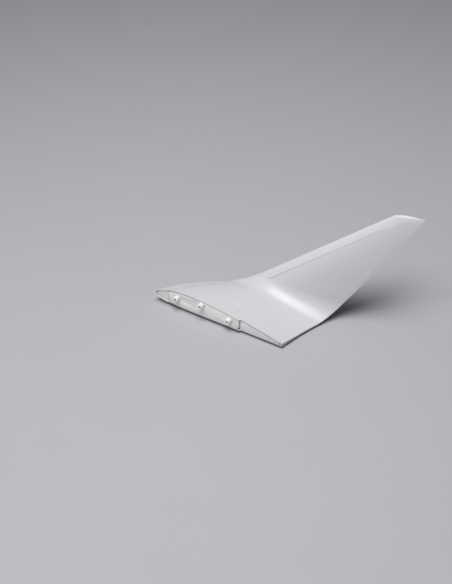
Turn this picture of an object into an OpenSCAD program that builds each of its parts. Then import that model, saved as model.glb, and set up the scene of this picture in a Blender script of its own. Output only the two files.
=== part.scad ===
// Blended winglet for a model aircraft: a flat root part that bends up into a swept, canted fin.
// Two moulded skins, a leading edge in two strips with a light lens between them, three root
// closings and three hollow pegs that plug into the end of the wing.
// x runs aft, y runs outboard and z runs up from the middle peg's axis at the root face.

/* [Planform] */
// Chord of the root section, from nose to trailing edge
root_chord = 142; // [115:1:190]
// Chord that the fin would have at its very tip, before the corner is rounded
tip_chord = 25; // [18:0.5:45]
// Length along the underside, from the root face to the tip
span_length = 179.5; // [150:0.5:230]
// Sweep of the leading edge at the root, in degrees
root_sweep = 31.6; // [15:0.1:42]
// Sweep of the leading edge on the fin, in degrees
fin_sweep = 50; // [35:0.5:56]
// Length over which the leading edge takes up the sweep of the fin
sweep_blend = 38; // [20:1:70]
// Sweep of the trailing edge at the root, in degrees
te_root_sweep = 15.6; // [5:0.1:25]
// Length over which the trailing edge takes up its final sweep
te_blend = 87; // [50:1:130]
// Outward bow of the fin's trailing edge
te_bow = 1; // [0:0.1:3]
// Length of the rounded front corner at the tip
tip_round = 4.5; // [3:0.1:5.5]
// Straight edge left at the trailing corner of the tip
tip_edge = 6; // [4:0.5:10]

/* [Bend] */
// Distance from the root face to the start of the bend
bend_start = 44; // [30:0.5:60]
// Radius of the bend on the underside
bend_radius = 30.5; // [24:0.5:45]
// Angle that the fin stands up from the root part, in degrees
cant = 66; // [40:1:85]

/* [Section] */
// Thickness of the root section, in percent of its chord
root_thick_percent = 13.9; // [12:0.1:17]
// Thickness of the tip section, in percent of its chord
tip_thick_percent = 10; // [8:0.1:14]
// Height of the nose above the flat underside, in percent of the root chord
nose_rise_percent = 5.7; // [4:0.1:7]
// Thickness of the trailing edge, for a chord as long as the root chord
te_thick = 1.4; // [1:0.1:2.5]
// Extra thickness of the trailing edge at the root
te_flare = 2.7; // [0:0.1:4]
// Length over which that extra thickness fades out
flare_length = 40; // [20:1:60]

/* [Skins] */
// Wall of the two skins and of the leading edge at the root
skin_wall = 1; // [0.7:0.1:1.4]
// Bond line between the skins at the trailing edge
bond_gap = 0.2; // [0.1:0.05:0.4]
// Open seam between the leading edge strips and the skins
seam_gap = 0.3; // [0.2:0.05:0.6]

/* [Leading edge] */
// Depth of the leading edge strip at the root
strip_root = 16; // [13:0.5:20]
// Sweep of the seam behind the leading edge at the root, in degrees
seam_sweep = 43; // [40:0.5:45]
// Length over which the seam takes up the sweep of the fin
seam_blend = 110; // [90:1:120]
// Width of the band that carries the strip round the tip
tip_band = 6; // [6:0.5:10]
// Place of the middle of the light lens along the underside
lens_at = 72; // [60:1:90]
// Length of the light lens along the underside
lens_length = 12; // [8:0.5:18]

/* [Root closings] */
// Rear end of the root rib, in percent of the root chord
rib_end_percent = 68; // [66:0.5:72]
// Thickness of the root rib
rib_thick = 3; // [2:0.5:5]
// Radius of the root rib's lower rear corner
rib_corner = 4; // [1:0.5:5]
// Depth of the block behind the root rib
block_depth = 14; // [9:0.5:18]
// Wall of that block in front of the front peg
block_wall = 1.5; // [1:0.1:3]
// Clearance round each root closing
rib_gap = 0.5; // [0.2:0.05:0.6]
// Step from the front of the root back to its rear
root_step = 2; // [1:0.1:4]
// Depth of the nose rib inside the nose
nose_recess = 1.2; // [1:0.1:5]
// Thickness of the nose rib and of the rear rib
closing_thick = 2; // [1:0.1:4]
// Depth of the rear rib inside the skins
rear_recess = 0.4; // [0:0.1:2]

/* [Pegs] */
// Diameter of a peg outside the root rib
peg_d = 6; // [5:0.1:8]
// Length of a peg outside the root rib
peg_out = 4; // [3:0.1:8]
// Rounding of a peg's free end
peg_round = 0.6; // [0.2:0.1:1]
// Depth of the seat that a peg has in the root rib
seat_depth = 1; // [0.5:0.1:1.5]
// Relief of the peg's foot in its seat, on the radius
foot_relief = 0.3; // [0.2:0.05:0.5]
// Diameter of the shank behind a peg's foot
shank_d = 4.4; // [3.6:0.1:4.8]
// Depth of a peg's shank behind the root face
shank_depth = 9; // [5:0.1:10]
// Clearance between a peg and its hole, on the radius
peg_fit = 0.05; // [0.02:0.01:0.15]
// Least width of the rib round a peg's seat
peg_land = 0.3; // [0.2:0.1:1]
// Diameter of the screw hole in a peg
hole_d = 2.4; // [1.6:0.1:3]
// Depth of the screw hole in a peg
hole_depth = 8; // [4:0.1:9]
// Front peg behind the nose, in percent of the root chord
front_peg_percent = 18.9; // [17:0.1:26]
// Middle peg behind the nose, in percent of the root chord
middle_peg_percent = 38.7; // [31:0.1:46]
// Rear peg behind the nose, in percent of the root chord
rear_peg_percent = 60.4; // [52:0.1:63]
// Front peg above the underside, in percent of the section's height there
front_rise_percent = 62; // [45:1:68]
// Middle peg above the underside, in percent of the section's height there
middle_rise_percent = 75; // [45:1:78]
// Rear peg above the underside, in percent of the section's height there
rear_rise_percent = 60; // [45:1:62]

/* [Web] */
// Place of the shear web behind the leading edge, in percent of the local chord
web_percent = 27; // [26:0.5:30]
// Thickness of the shear web
web_thick = 2; // [1:0.1:3]
// End of the shear web along the underside
web_end = 125; // [100:1:140]
// Clearance between the web and what it is bonded to
web_gap = 0.2; // [0.1:0.05:0.4]

/* [Hidden] */
white = [0.93, 0.93, 0.94];
pearl = [0.9, 0.9, 0.91];
bone = [0.86, 0.86, 0.83];
bright = [0.97, 0.97, 0.96];
clear = [0.95, 0.97, 1, 0.8];

// Points along the section and stations along the span
nose_points = 10;
block_points = 10;
front_points = 12;
rear_points = 6;
rib_points = 24;
rear_rib_points = 12;
block_rows = 2;
root_rows = 4;
bend_rows = 14;
fin_rows = 9;
tip_rows = 8;
// Least distance between two stations, and the step in u that gives a section's slope
row_margin = 0.5;
slope_step = 0.005;
// Degrees between the points of a small arc, and sides of a round
arc_step = 15;
round_sides = 48;

// Section height peaks at this share of the chord, and the underside is flat behind it
peak_at = 0.3;
// Share of the chord that the leading edge strip takes at its end in the tip
tip_share = 0.97;
// Share of the chord where the skins stop short of the tip band
skin_stop = 0.9;
// Run of the land's rear face, so that the step has a body
step_run = 0.3;
// Rear end of the rear rib and start of the bonded trailing edge, as shares of the chord
rear_rib_share = 0.97;
land_from = 0.97;
// Start of the peg holes in front of the rib, and room behind the shanks
hole_lead = 1;
shank_end = 0.5;

bend_end = bend_start + bend_radius * cant * PI / 180;
band_start = span_length - tip_band;
seam_turn = tip_band;
lens_from = lens_at - lens_length / 2;
lens_to = lens_at + lens_length / 2;

// Edges in plan: a straight line whose slope changes smoothly over a blend length
function eased(t, blend) =
    let (u = min(max(t / blend, 0), 1))
    blend * (u^3 - u^4 / 2) + max(t - blend, 0);
function run(t, slope_a, slope_b, blend) = slope_a * t + (slope_b - slope_a) * eased(t, blend);
function le_line(t) = run(t, tan(root_sweep), tan(fin_sweep), sweep_blend);
te_root_slope = tan(te_root_sweep);
te_gain = (le_line(span_length) + tip_chord - root_chord - te_root_slope * span_length)
    / eased(span_length, te_blend);
function te_line(t) = root_chord + run(t, te_root_slope, te_root_slope + te_gain, te_blend);
function bow(t) =
    let (v = min(max((t - bend_end) / (span_length - bend_end), 0), 1))
    4 * te_bow * v * (1 - v);
function quarter(v) = 1 - sqrt(1 - min(max(v, 0), 1)^2);
function le(t) = le_line(t) + (tip_chord - tip_edge) * quarter((t - span_length + tip_round) / tip_round);
function te(t) = te_line(t) + bow(t);
function chord(t) = te(t) - le(t);

// Underside in front view: flat, then an arc, then straight up the fin
function turn(t) = min(max((t - bend_start) / bend_radius * 180 / PI, 0), cant);
function out_y(t) =
    min(t, bend_start) + bend_radius * sin(turn(t)) + max(t - bend_end, 0) * cos(cant);
function up_z(t) = bend_radius * (1 - cos(turn(t))) + max(t - bend_end, 0) * sin(cant);

// Flat-bottomed section, in shares of the chord. u runs from the trailing edge under the nose
// (minus) to the trailing edge over it (plus), with the chord share its square.
function thickness(t) =
    (root_thick_percent + (tip_thick_percent - root_thick_percent) * t / span_length) / 100;
function flare(t) = te_flare * (1 - min(t / flare_length, 1))^2;
function half(t, s) =
    5 * thickness(t) * (0.2969 * sqrt(s) - 0.126 * s - 0.3516 * s^2 + 0.2843 * s^3 - 0.1036 * s^4)
    + (te_thick * s + flare(t) * s^4) / root_chord / 2;
function middle(t, s) =
    let (nose = nose_rise_percent / root_thick_percent * thickness(t))
    s > peak_at ? half(t, s)
    : nose + (half(t, peak_at) - nose) * (1 - (1 - s / peak_at)^2);
function section(t, u) =
    let (s = u * u)
    [le(t) + chord(t) * s, chord(t) * (middle(t, s) + sign(u) * half(t, s))];

// The same section moved in by a wall, square to its surface
function inset(t, u, wall) =
    let (d = section(t, u + slope_step) - section(t, u - slope_step))
    section(t, u) + wall * [d.y, -d.x] / norm(d);
// The same section moved in straight through the wall, which thickens to the bond line at the trailing edge
function lining(t, u) =
    let (s = u * u,
         wall = skin_wall + te_flare * max(s - land_from, 0) / (1 - land_from),
         room = chord(t) * half(t, s) - bond_gap / 2)
    section(t, u) - [0, sign(u) * min(wall, room)];

// Room for a root closing between the skins, over its whole thickness
function skin_at(t, x, side) = lining(t, side * sqrt((x - le(t)) / chord(t))).y;
function roof(from, to, x) = min(skin_at(from, x, 1), skin_at(to, x, 1)) - rib_gap;
function floor_at(from, to, x) = max(skin_at(from, x, -1), skin_at(to, x, -1)) + rib_gap;
rib_from = strip_root + seam_gap + rib_gap;
rib_to = root_chord * rib_end_percent / 100 - rib_gap;

// Centre of a peg in the root section. The rib keeps a land round the peg's seat.
seat_r = peg_d / 2 + peg_fit;
function peg_centre(share, rise) =
    let (x = min(root_chord * share / 100, rib_to - seat_r - peg_land),
         top = roof(0, rib_thick, x) - seat_r - peg_land)
    [x, 0, min(section(0, sqrt(x / root_chord)).y * rise / 100, top)];
front_centre = peg_centre(front_peg_percent, front_rise_percent);
middle_centre = peg_centre(middle_peg_percent, middle_rise_percent);
rear_centre = peg_centre(rear_peg_percent, rear_rise_percent);

// A point of a section in the part's frame
origin = middle_centre;
function place(t, p) =
    [p.x, out_y(t) - p.y * sin(turn(t)), up_z(t) + p.y * cos(turn(t))] - origin;

// Seam behind the leading edge: a line of its own that turns aft along the tip
function seam_line(t) = strip_root + run(t, tan(seam_sweep), tan(fin_sweep), seam_blend);
function seam(t) =
    let (plain = (seam_line(t) - le_line(t)) / (te(t) - le_line(t)))
    plain + (tip_share - plain) * quarter((t - band_start + seam_turn) / seam_turn);
function skin_seam(t) = seam(min(t + seam_gap, band_start)) + seam_gap / chord(t);

// Stations along the underside
function spread(from, to, rows) = [for (i = [0 : rows]) from + (to - from) * i / rows];
function inside(list, from, to) = [for (t = list) if (t > from + row_margin && t < to - row_margin) t];
span_rows = concat(spread(0, bend_start, root_rows), spread(bend_start, bend_end, bend_rows),
                   spread(bend_end, band_start - seam_turn, fin_rows));
function tip_turn(v) = sin(90 * v);
seam_rows = [for (i = [1 : tip_rows - 1]) band_start - seam_turn * (1 - tip_turn(i / tip_rows))];
round_rows = [for (i = [0 : tip_rows]) span_length - tip_round * (1 - tip_turn(i / tip_rows))];

// Rows of a strip between two stations, each once
function strip_rows(from, to) = concat([from], inside(span_rows, from, to), [to]);
// Last station of the skins: where the seam has nearly reached the trailing edge
band_share = (seam_line(band_start) - le_line(band_start)) / chord(band_start);
skin_rise = (skin_stop - band_share) / (tip_share - band_share);
skin_end = band_start - seam_turn * (1 - sqrt(1 - (1 - skin_rise)^2)) - seam_gap;

// Solids from rows of points
function split(quads) = [for (q = quads) each [[q[0], q[1], q[2]], [q[0], q[2], q[3]]]];
function flat_list(rows) = [for (row = rows) each row];

// Wall between an outer and an inner sheet with the same rows
module shell(outer, inner) {
    n = len(outer);
    m = len(outer[0]);
    k = n * m;
    sheets = [for (i = [0 : n - 2], j = [0 : m - 2]) let (a = i * m + j, b = a + m)
        each [[a, b, b + 1, a + 1], [k + a, k + a + 1, k + b + 1, k + b]]];
    sides = [for (i = [0 : n - 2]) let (a = i * m, b = a + m, c = a + m - 1, d = b + m - 1)
        each [[b, a, k + a, k + b], [c, d, k + d, k + c]]];
    ends = [for (j = [0 : m - 2]) let (z = (n - 1) * m + j)
        each [[j, j + 1, k + j + 1, k + j], [z + 1, z, k + z, k + z + 1]]];
    polyhedron(concat(flat_list(outer), flat_list(inner)), split(concat(sheets, sides, ends)),
               convexity = 4);
}

// Closed body through rows of rings, capped across from the first point to the last
module body(rings) {
    n = len(rings);
    m = len(rings[0]);
    last = (n - 1) * m;
    sides = [for (i = [0 : n - 2], j = [0 : m - 1]) let (k = (j + 1) % m)
        [i * m + j, i * m + m + j, i * m + m + k, i * m + k]];
    caps = [for (j = [0 : floor(m / 2) - 1]) let (a = j, b = j + 1, c = m - 2 - j, d = m - 1 - j)
        if (c > b) each [[a, b, c, d], [last + d, last + c, last + b, last + a]]];
    noses = m % 2 == 0 ? [] : let (h = floor(m / 2))
        [[h - 1, h, h + 1], [last + h + 1, last + h, last + h - 1]];
    polyhedron(flat_list(rings), concat(split(sides), split(caps), noses), convexity = 4);
}

// Skins. Each sheet runs from the seam to the trailing edge, and its root edge steps back at the rib's end.
step_u = sqrt(rib_end_percent / 100);
rear_u = sqrt((rib_end_percent + 100 * step_run / root_chord) / 100);
seam_u = sqrt(skin_seam(0));
skin_places = [for (u = concat(spread(seam_u, step_u, front_points),
                               spread(rear_u, sqrt(land_from), rear_points), [1]))
    (u - seam_u) / (1 - seam_u)];
land_rows = [for (i = [0 : len(skin_places) - 1]) i > front_points ? root_step : 0];
skin_stations = concat(inside(span_rows, root_step, band_start - seam_turn), [band_start - seam_turn],
                       inside(seam_rows, band_start - seam_turn, skin_end), [skin_end]);

function skin_u(t, q) = let (s = sqrt(skin_seam(t))) s + (1 - s) * q;
function skin_row(stations, side, lined) =
    [for (j = [0 : len(skin_places) - 1])
        let (k = side > 0 ? j : len(skin_places) - 1 - j,
             t = stations[k],
             u = side * skin_u(t, skin_places[k]))
        place(t, lined ? lining(t, u) : section(t, u))];
function skin_sheet(side, lined) = concat([skin_row(land_rows, side, lined)],
    [for (t = skin_stations) skin_row([for (q = skin_places) t], side, lined)]);

module upper_skin() {
    color(white) shell(skin_sheet(1, false), skin_sheet(1, true));
}

module lower_skin() {
    color(white) shell(skin_sheet(-1, false), skin_sheet(-1, true));
}

// Leading edge strips and the lens between them
function nose_ring(t, wall) =
    let (s = sqrt(seam(t)))
    [for (j = [-nose_points : nose_points])
        place(t, wall > 0 ? inset(t, s * j / nose_points, wall) : section(t, s * j / nose_points))];

module leading_edge_root() {
    rows = strip_rows(0, lens_from - seam_gap / 2);
    color(pearl) shell([for (t = rows) nose_ring(t, 0)], [for (t = rows) nose_ring(t, skin_wall)]);
}

module leading_edge_fin() {
    rows = concat(strip_rows(lens_to + seam_gap / 2, band_start - seam_turn), seam_rows,
                  [band_start], round_rows);
    color(pearl) body([for (t = rows) nose_ring(t, 0)]);
}

module light_lens() {
    rows = strip_rows(lens_from + seam_gap / 2, lens_to - seam_gap / 2);
    color(clear) body([for (t = rows) nose_ring(t, 0)]);
}

// Root closings. Their outlines stay inside the skins over their whole thickness.
module closing(from, thick, xs, corner) {
    to = from + thick;
    last = xs[len(xs) - 1];
    base = floor_at(from, to, last);
    roofline = [for (x = xs) [x, roof(from, to, x)]];
    floorline = [for (x = xs) if (x < last - corner) [x, floor_at(from, to, x)]];
    arc = [for (a = [0 : arc_step : 90]) [last - corner + corner * sin(a), base + corner * (1 - cos(a))]];
    translate([0, to, 0] - origin)
        rotate([90, 0, 0])
            linear_extrude(thick)
                polygon(concat(floorline, arc, [for (i = [len(xs) - 1 : -1 : 0]) roofline[i]]));
}

// Holes for the three pegs: a seat for each foot, and a bore that runs a little past the shank
module peg_holes() {
    for (centre = [front_centre, middle_centre, rear_centre])
        translate(centre - [0, hole_lead, 0] - origin)
            rotate([-90, 0, 0]) {
                cylinder(r = seat_r, h = hole_lead + seat_depth, $fn = round_sides);
                cylinder(r = shank_d / 2 + peg_fit, h = hole_lead + shank_depth + shank_end,
                         $fn = round_sides);
            }
}

module root_rib() {
    color(bone) difference() {
        closing(0, rib_thick, spread(rib_from, rib_to, rib_points), rib_corner);
        peg_holes();
    }
}

// Block bonded behind the rib between the skins, which holds the pegs' shanks. It follows the seam
// as far as the front peg's bore leaves it a wall.
bore_front = front_centre.x - shank_d / 2 - peg_fit - block_wall;
function block_ring(t) =
    let (front = min(seam_line(t) + seam_gap + rib_gap, bore_front),
         xs = spread(front, rib_to, block_points))
    concat([for (i = [block_points : -1 : 0]) place(t, [xs[i], skin_at(t, xs[i], -1) + rib_gap])],
           [for (x = xs) place(t, [x, skin_at(t, x, 1) - rib_gap])]);

module peg_block() {
    color(bone) difference() {
        body([for (t = spread(rib_thick, rib_thick + block_depth, block_rows)) block_ring(t)]);
        peg_holes();
    }
}

module nose_rib() {
    wall = skin_wall + rib_gap;
    color(bone) body([for (t = [nose_recess, nose_recess + closing_thick])
        let (s = sqrt((rib_from - wall - le(t)) / chord(t)))
        [for (j = [-nose_points : nose_points]) place(t, inset(t, s * j / nose_points, wall))]]);
}

module rear_rib() {
    from = root_step + rear_recess;
    start = root_chord * rib_end_percent / 100;
    end = root_chord * rear_rib_share;
    color(bone) closing(from, closing_thick, spread(start, end, rear_rib_points), 0);
}

// Hollow pegs: a head outside the rib, a foot seated in it, a shank behind and a blind screw hole
module peg(centre) {
    rim = [for (a = [0 : arc_step : 90])
        [peg_d / 2 - peg_round * (1 - cos(a)), peg_out - peg_round * (1 - sin(a))]];
    foot_r = peg_d / 2 - foot_relief;
    bottom = peg_out - hole_depth;
    color(bright)
        translate(centre - origin)
            rotate([90, 0, 0])
                rotate_extrude($fn = round_sides)
                    polygon(concat([[0, -shank_depth], [shank_d / 2, -shank_depth],
                                    [shank_d / 2, -seat_depth], [foot_r, -seat_depth],
                                    [foot_r, 0], [peg_d / 2, 0]], rim,
                                   [[hole_d / 2, peg_out], [hole_d / 2, bottom], [0, bottom]]));
}

module front_peg() {
    peg(front_centre);
}

module middle_peg() {
    peg(middle_centre);
}

module rear_peg() {
    peg(rear_centre);
}

// Shear web between the skins, from the peg block to part way up the fin
function web_ring(t) =
    let (x = le(t) + chord(t) * web_percent / 100,
         xs = [x + web_thick / 2, x - web_thick / 2])
    [for (corner = [[xs[0], -1], [xs[1], -1], [xs[1], 1], [xs[0], 1]])
        place(t, [corner[0], skin_at(t, corner[0], corner[1]) - corner[1] * web_gap])];

module shear_web() {
    color(bone) body([for (t = strip_rows(rib_thick + block_depth + web_gap, web_end)) web_ring(t)]);
}

upper_skin();
lower_skin();
leading_edge_root();
leading_edge_fin();
light_lens();
root_rib();
peg_block();
nose_rib();
rear_rib();
front_peg();
middle_peg();
rear_peg();
shear_web();
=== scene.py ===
"""Looks of a blended winglet: lofted skins and strips, root closings, pegs, finishes and studio.

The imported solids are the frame. The skins and the leading edge are lofted again, finer, by the
rules that the solids follow. Lengths are millimetres until a mesh is placed, which is in metres.
"""

import logging
import math
from collections.abc import Callable
from dataclasses import dataclass, field, fields
from enum import Enum
from types import SimpleNamespace
from typing import Any

import bmesh
import bpy
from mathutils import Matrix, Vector


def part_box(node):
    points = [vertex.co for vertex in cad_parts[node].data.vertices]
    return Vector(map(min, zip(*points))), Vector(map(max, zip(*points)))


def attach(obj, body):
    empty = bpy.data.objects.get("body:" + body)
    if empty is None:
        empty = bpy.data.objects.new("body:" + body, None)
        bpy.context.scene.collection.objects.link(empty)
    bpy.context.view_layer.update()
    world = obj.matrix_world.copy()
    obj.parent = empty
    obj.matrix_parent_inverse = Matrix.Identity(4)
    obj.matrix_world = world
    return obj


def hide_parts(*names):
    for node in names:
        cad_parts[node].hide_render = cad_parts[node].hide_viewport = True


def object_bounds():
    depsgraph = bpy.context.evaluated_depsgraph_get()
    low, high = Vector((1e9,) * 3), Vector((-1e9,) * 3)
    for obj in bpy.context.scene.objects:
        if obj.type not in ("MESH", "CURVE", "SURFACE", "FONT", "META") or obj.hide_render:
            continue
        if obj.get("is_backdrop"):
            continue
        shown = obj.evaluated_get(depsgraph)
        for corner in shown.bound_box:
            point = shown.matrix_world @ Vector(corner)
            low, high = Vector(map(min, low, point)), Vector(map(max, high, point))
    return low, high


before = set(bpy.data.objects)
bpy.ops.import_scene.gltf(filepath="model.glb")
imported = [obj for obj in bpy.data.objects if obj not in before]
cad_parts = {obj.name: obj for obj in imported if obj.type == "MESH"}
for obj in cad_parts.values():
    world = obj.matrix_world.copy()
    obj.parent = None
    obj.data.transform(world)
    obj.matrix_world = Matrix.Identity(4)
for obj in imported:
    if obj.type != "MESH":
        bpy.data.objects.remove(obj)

LOG = logging.getLogger("winglet")
MM = 0.001
WELD = 0.002 * MM
# Usual thickness of a wing section: its scale, and factors of the share's root and of its powers 1 to 4
THICKNESS_SCALE = 5
THICKNESS_CURVE = (0.2969, -0.126, -0.3516, 0.2843, -0.1036)
Colour = tuple[float, float, float]


class Wire:
    """An output socket of a node tree, on which arithmetic adds Math nodes."""

    def __init__(self, graph: "Graph", socket: bpy.types.NodeSocket) -> None:
        """Keep the socket with the graph that it belongs to."""
        self.graph = graph
        self.socket = socket

    def __add__(self, other: "Term") -> "Wire":
        """Sum of two values."""
        return self.graph.math("ADD", self, other)

    def __radd__(self, other: "Term") -> "Wire":
        """Sum with a number in front."""
        return self.graph.math("ADD", other, self)

    def __sub__(self, other: "Term") -> "Wire":
        """Difference of two values."""
        return self.graph.math("SUBTRACT", self, other)

    def __rsub__(self, other: "Term") -> "Wire":
        """Difference from a number in front."""
        return self.graph.math("SUBTRACT", other, self)

    def __mul__(self, other: "Term") -> "Wire":
        """Product of two values."""
        return self.graph.math("MULTIPLY", self, other)

    def __rmul__(self, other: "Term") -> "Wire":
        """Product with a number in front."""
        return self.graph.math("MULTIPLY", other, self)

    def __truediv__(self, other: "Term") -> "Wire":
        """Quotient of two values."""
        return self.graph.math("DIVIDE", self, other)

    def __rtruediv__(self, other: "Term") -> "Wire":
        """A number in front, divided by this value."""
        return self.graph.math("DIVIDE", other, self)

    def __pow__(self, other: "Term") -> "Wire":
        """Power of a value that isn't negative."""
        return self.graph.math("POWER", self, other)

    def __abs__(self) -> "Wire":
        """Size of the value without its sign."""
        return self.graph.math("ABSOLUTE", self)

    def __gt__(self, other: "Term") -> "Wire":
        """1 where this value is the greater, 0 elsewhere."""
        return self.graph.math("GREATER_THAN", self, other)

    def least(self, other: "Term") -> "Wire":
        """The smaller of two values."""
        return self.graph.math("MINIMUM", self, other)

    def most(self, other: "Term") -> "Wire":
        """The greater of two values."""
        return self.graph.math("MAXIMUM", self, other)

    def clamp(self, low: "Term" = 0.0, high: "Term" = 1.0) -> "Wire":
        """This value, held between two limits."""
        return self.most(low).least(high)

    def root(self) -> "Wire":
        """Square root of a value that isn't negative."""
        return self.graph.math("SQRT", self)

    def rounded(self) -> "Wire":
        """The nearest whole number."""
        return self.graph.math("ROUND", self)

    def sine(self) -> "Wire":
        """Sine of an angle in degrees."""
        return self.graph.math("SINE", self.graph.math("RADIANS", self))

    def cosine(self) -> "Wire":
        """Cosine of an angle in degrees."""
        return self.graph.math("COSINE", self.graph.math("RADIANS", self))

    def tangent(self) -> "Wire":
        """Tangent of an angle in degrees."""
        return self.graph.math("TANGENT", self.graph.math("RADIANS", self))

    def swing(self, size: float) -> "Wire":
        """Random values about 0.5 as a swing about 0."""
        return (self - 0.5) * size

    def pick(self, yes: "Term", no: "Term") -> "Wire":
        """One value where this wire is 1, another where it is 0."""
        return no + (yes - no) * self


Term = Wire | float | int


class Graph:
    """A node tree that is written as expressions."""

    def __init__(self, tree: bpy.types.NodeTree) -> None:
        """Keep the tree that the nodes go into."""
        self.tree = tree

    def feed(self, socket: bpy.types.NodeSocket, value: Any) -> None:
        """Link an input to a wire or a socket, or set the input's own value.

        Args:
            socket: The input to feed.
            value: A wire, an output socket, or a plain value.
        """
        if isinstance(value, Wire):
            self.tree.links.new(value.socket, socket)
        elif isinstance(value, bpy.types.NodeSocket):
            self.tree.links.new(value, socket)
        else:
            socket.default_value = value

    def node(self, kind: str, settings: dict[str, Any] | None = None,
             sockets: dict[str | int, Any] | None = None) -> bpy.types.Node:
        """Add a node, with its settings first and then its inputs.

        Args:
            kind: The node's type.
            settings: Values of the node's own properties.
            sockets: Values or links of its inputs, by name or place.

        Returns:
            The new node.
        """
        made = self.tree.nodes.new(kind)
        for name, value in (settings or {}).items():
            setattr(made, name, value)
        for name, value in (sockets or {}).items():
            self.feed(made.inputs[name], value)
        return made

    def wire(self, kind: str, settings: dict[str, Any] | None = None,
             sockets: dict[str | int, Any] | None = None, output: int | str = 0) -> Wire:
        """Add a node and take one of its outputs.

        Args:
            kind: The node's type.
            settings: Values of the node's own properties.
            sockets: Values or links of its inputs, by name or place.
            output: The output to take, by name or place.

        Returns:
            That output as a wire.
        """
        return Wire(self, self.node(kind, settings, sockets).outputs[output])

    def math(self, operation: str, *values: Term) -> Wire:
        """Add one Math node and return its result."""
        return self.wire("ShaderNodeMath", {"operation": operation}, dict(enumerate(values)))

    def vector(self, x: Term, y: Term, z: Term) -> Wire:
        """Join three values to a vector."""
        return self.wire("ShaderNodeCombineXYZ", None, {0: x, 1: y, 2: z})

    def split(self, vector: Wire) -> tuple[Wire, Wire, Wire]:
        """Take a vector apart into its three values."""
        made = self.node("ShaderNodeSeparateXYZ", None, {0: vector})
        return Wire(self, made.outputs[0]), Wire(self, made.outputs[1]), Wire(self, made.outputs[2])


def linked(name: str, data: bpy.types.ID) -> bpy.types.Object:
    """Add an object to the scene.

    Args:
        name: The object's name.
        data: Its mesh, lamp or camera.

    Returns:
        The object.
    """
    body = bpy.data.objects.new(name, data)
    bpy.context.scene.collection.objects.link(body)
    return body


def applied(piece: bpy.types.Object, modifier: bpy.types.Modifier) -> bpy.types.Object:
    """Keep what a modifier makes as the piece's plain mesh.

    Args:
        piece: The piece.
        modifier: Its one modifier, which is taken off.

    Returns:
        The same piece.
    """
    evaluated = piece.evaluated_get(bpy.context.evaluated_depsgraph_get())
    mesh = bpy.data.meshes.new_from_object(evaluated)
    piece.modifiers.remove(modifier)
    piece.data = mesh
    return piece


@dataclass(frozen=True)
class WingletSizes:
    """Driving sizes of the winglet, in millimetres, degrees and percent, as its solids have them.

    Only the closing of the seam, from seam_closing to closing_run, is added for the looks.
    """

    root_chord: float = 142.0
    tip_chord: float = 25.0
    span_length: float = 179.5
    root_sweep: float = 31.6
    fin_sweep: float = 50.0
    sweep_blend: float = 38.0
    te_root_sweep: float = 15.6
    te_blend: float = 87.0
    te_bow: float = 1.0
    tip_round: float = 4.5
    tip_edge: float = 6.0
    bend_start: float = 44.0
    bend_radius: float = 30.5
    cant: float = 66.0
    root_thick_percent: float = 13.9
    tip_thick_percent: float = 10.0
    nose_rise_percent: float = 5.7
    peak_percent: float = 30.0
    te_thick: float = 1.4
    te_flare: float = 2.7
    flare_length: float = 40.0
    land_percent: float = 97.0
    skin_wall: float = 1.0
    bond_gap: float = 0.2
    seam_gap: float = 0.3
    seam_closing: float = 0.85
    closed_from: float = 38.0
    closed_to: float = 78.5
    closing_run: float = 3.0
    strip_root: float = 16.0
    seam_sweep: float = 43.0
    seam_blend: float = 110.0
    tip_band: float = 6.0
    tip_share_percent: float = 97.0
    skin_stop_percent: float = 90.0
    rib_end_percent: float = 68.0
    step_run: float = 0.3
    root_step: float = 2.0


class Pace(Enum):
    """How the rows of a run follow each other along the span."""

    EVEN = "even"
    CLOSING = "closing"


@dataclass(frozen=True)
class Run:
    """A stretch of the span with a number of rows."""

    start: Term
    end: Term
    rows: int
    pace: Pace = Pace.EVEN


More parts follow.
